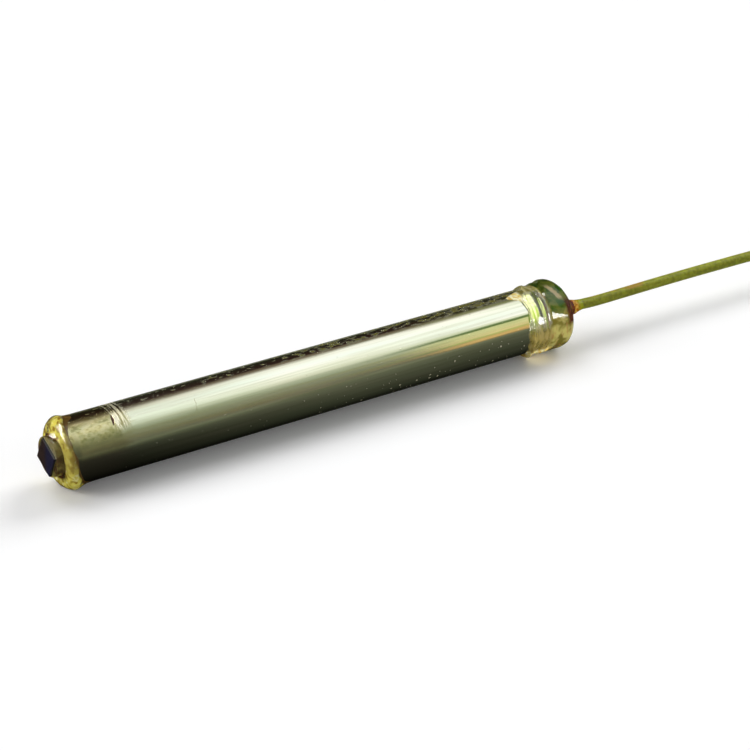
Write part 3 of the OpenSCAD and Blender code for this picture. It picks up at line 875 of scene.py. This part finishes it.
# the same as the sensor's front end mirrors it, where the panel falls off sooner
FRONT_SKY = [(-20, 0.08, 0.08, 0.07), (2, 0.11, 0.11, 0.09), (16, 0.14, 0.145, 0.11),
             (30, 0.22, 0.23, 0.17), (44, 0.38, 0.40, 0.30), (58, 0.72, 0.75, 0.66),
             (74, 1.15, 1.17, 1.15), (90, 1.30, 1.32, 1.4), (106, 0.85, 0.76, 0.66),
             (124, 0.12, 0.09, 0.07), (136, 0.03, 0.013, 0.012), (170, 0.02, 0.019, 0.012),
             (200, 0.03, 0.028, 0.02)]
# and where a low warm window stands on the +X side
SIDE_SKY = [(-20, 0.10, 0.10, 0.08), (-5, 0.12, 0.12, 0.07), (0, 0.66, 0.38, 0.12),
            (4, 0.95, 0.60, 0.26), (10, 0.90, 0.58, 0.25), (14, 0.60, 0.66, 0.22),
            (19, 0.95, 0.78, 0.42), (31, 0.92, 0.88, 0.50),
            (38, 0.84, 0.86, 0.46), (41.5, 0.08, 0.15, 0.03), (46, 0.14, 0.24, 0.07),
            (51, 1.0, 1.05, 0.9), (60, 1.25, 1.27, 1.4), (104, 1.25, 1.27, 1.3),
            (118, 0.26, 0.26, 0.14), (134, 0.04, 0.035, 0.015), (170, 0.02, 0.02, 0.012),
            (200, 0.03, 0.03, 0.02)]
# Round lamps in it: (towards, full within degrees, gone beyond degrees, colour, strength)
SPOTS = [((-0.90, 0.42, 0.14), 9, 20, (1.0, 1.0, 0.95), 9.0),
         ((-0.32, 0.30, 0.90), 12, 20, (1.0, 1.0, 0.92), 16.0)]


def sky_ramp(sky, lift, stops):
    """A colour for each height of the sky."""
    ramp = sky.node("ShaderNodeValToRGB", {0: lift.ramp(LIFT_LOW, LIFT_HIGH, kind="LINEAR")})
    ramp.color_ramp.interpolation = "EASE"
    points = ramp.color_ramp.elements
    while len(points) < len(stops):
        points.new(0.5)
    for point, (degrees, *colour) in zip(points, stops):
        point.position = (degrees - LIFT_LOW) / (LIFT_HIGH - LIFT_LOW)
        point.color = tuple(colour) + (1,)
    return Field(sky, ramp.outputs[0])


def add_spot(sky, glow, sight, towards, inner, outer, colour, strength):
    near = sky.vector_math("DOT_PRODUCT", "Value", {0: sight, 1: Vector(towards).normalized()})
    share = near.ramp(math.cos(math.radians(outer)), math.cos(math.radians(inner)), 0.0,
                      strength)
    lamp = sky.vector_math("SCALE", 0, {0: colour, "Scale": share})
    return sky.vector_math("ADD", 0, {0: glow, 1: lamp})


def mirrored_sky(sky):
    """What polished metal and resin mirror."""
    coords = sky.field("ShaderNodeTexCoord", "Generated")
    sight = sky.vector_math("NORMALIZE", 0, {0: coords})
    x, y, z = sight.parts()
    lift = sky.degrees_up(y, z)
    uneven = sky.field("ShaderNodeTexNoise", "Fac", {
        "Vector": sight, "Scale": 22.0, "Detail": 3.0})
    # the window's near edge slants, so that its image starts as a wedge
    slant = sky.math("MAXIMUM", 38.0 - lift, 0.0) * 0.0003
    to_side = (x + uneven.ramp(0.3, 0.7, -0.003, 0.003) - slant).ramp(0.5080, 0.5115)
    panels = x.ramp(0.440, 0.405).mix(sky_ramp(sky, lift, MAIN_SKY),
                                      sky_ramp(sky, lift, FRONT_SKY))
    panels = to_side.mix(panels, sky_ramp(sky, lift, SIDE_SKY))
    # the softbox is a little weaker towards the front end, and ends past the rear end
    power = x.ramp(0.375, 0.45, 0.80, 1.0) * x.ramp(0.78, 0.66, 0.25, 1.0)
    glow = sky.vector_math("SCALE", 0, {0: panels, "Scale": power})
    for spot in SPOTS:
        glow = add_spot(sky, glow, sight, *spot)
    # through the clear resin a plain bright room shows
    beyond = z.ramp(-0.1, 0.7, 0.30, 1.6)
    return sky.background(glow), sky.background((1, 1, 0.95), beyond)


world = bpy.data.worlds.new("studio")
bpy.context.scene.world = world
sky = Nodes(world)
sky.tree.nodes.clear()
mirror, beyond = mirrored_sky(sky)
camera_ray, glossy_ray, through_ray = sky.rays()
# the metal doesn't throw its mirrored lamps on to the floor
diffuse_depth = sky.field("ShaderNodeLightPath", "Diffuse Depth")
mirrored = glossy_ray.most(through_ray) * sky.math("LESS_THAN", diffuse_depth, 0.5)
shown = sky.mix_shaders(mirrored, sky.background(WHITE, WORLD_AMBIENT), mirror)
shown = sky.mix_shaders(through_ray, shown, beyond)
shown = sky.mix_shaders(camera_ray, shown, sky.background(WHITE))
sky.node("ShaderNodeOutputWorld", {"Surface": shown})


# ---------------------------------------------------------------- lamps

def add_sun(name, azimuth, elevation, power, spread):
    """A soft sun lamp. Azimuth 0 is towards +X and 90 degrees towards +Y."""
    a, e = math.radians(azimuth), math.radians(elevation)
    data = bpy.data.lights.new(name, "SUN")
    data.energy = power
    data.angle = math.radians(spread)
    lamp = bpy.data.objects.new(name, data)
    towards = Vector((math.cos(e) * math.cos(a), math.cos(e) * math.sin(a), math.sin(e)))
    lamp.rotation_euler = towards.to_track_quat("Z", "Y").to_euler()
    lamp.visible_glossy = False
    lamp.visible_transmission = False
    bpy.context.scene.collection.objects.link(lamp)
    return lamp


def add_glint(name, towards, spread, radiance, piece):
    """A sun that one glossy piece alone mirrors."""
    x, y, z = Vector(towards).normalized()
    lamp = add_sun(name, math.degrees(math.atan2(y, x)), math.degrees(math.asin(z)),
                   radiance * math.pi * math.sin(math.radians(spread / 2)) ** 2, spread)
    lamp.visible_glossy = True
    lit = bpy.data.collections.new(name)
    lit.objects.link(bpy.data.objects[piece])
    lamp.light_linking.receiver_collection = lit


add_sun("back_sun", 92, 55, 0.80, 36)
add_sun("right_sun", 18, 34, 1.57, 36)
add_sun("left_sun", 166, 27, 1.50, 38)
add_sun("near_sun", 292, 25, 0.25, 28)
add_glint("dome_glint", (0.34, -0.93, 0.10), 36, 20, "rear_resin")
add_glint("bead_glint", (-0.74, 0.42, 0.45), 34, 4.5, "front_bead_resin")

bpy.context.scene.view_settings.view_transform = "Standard"
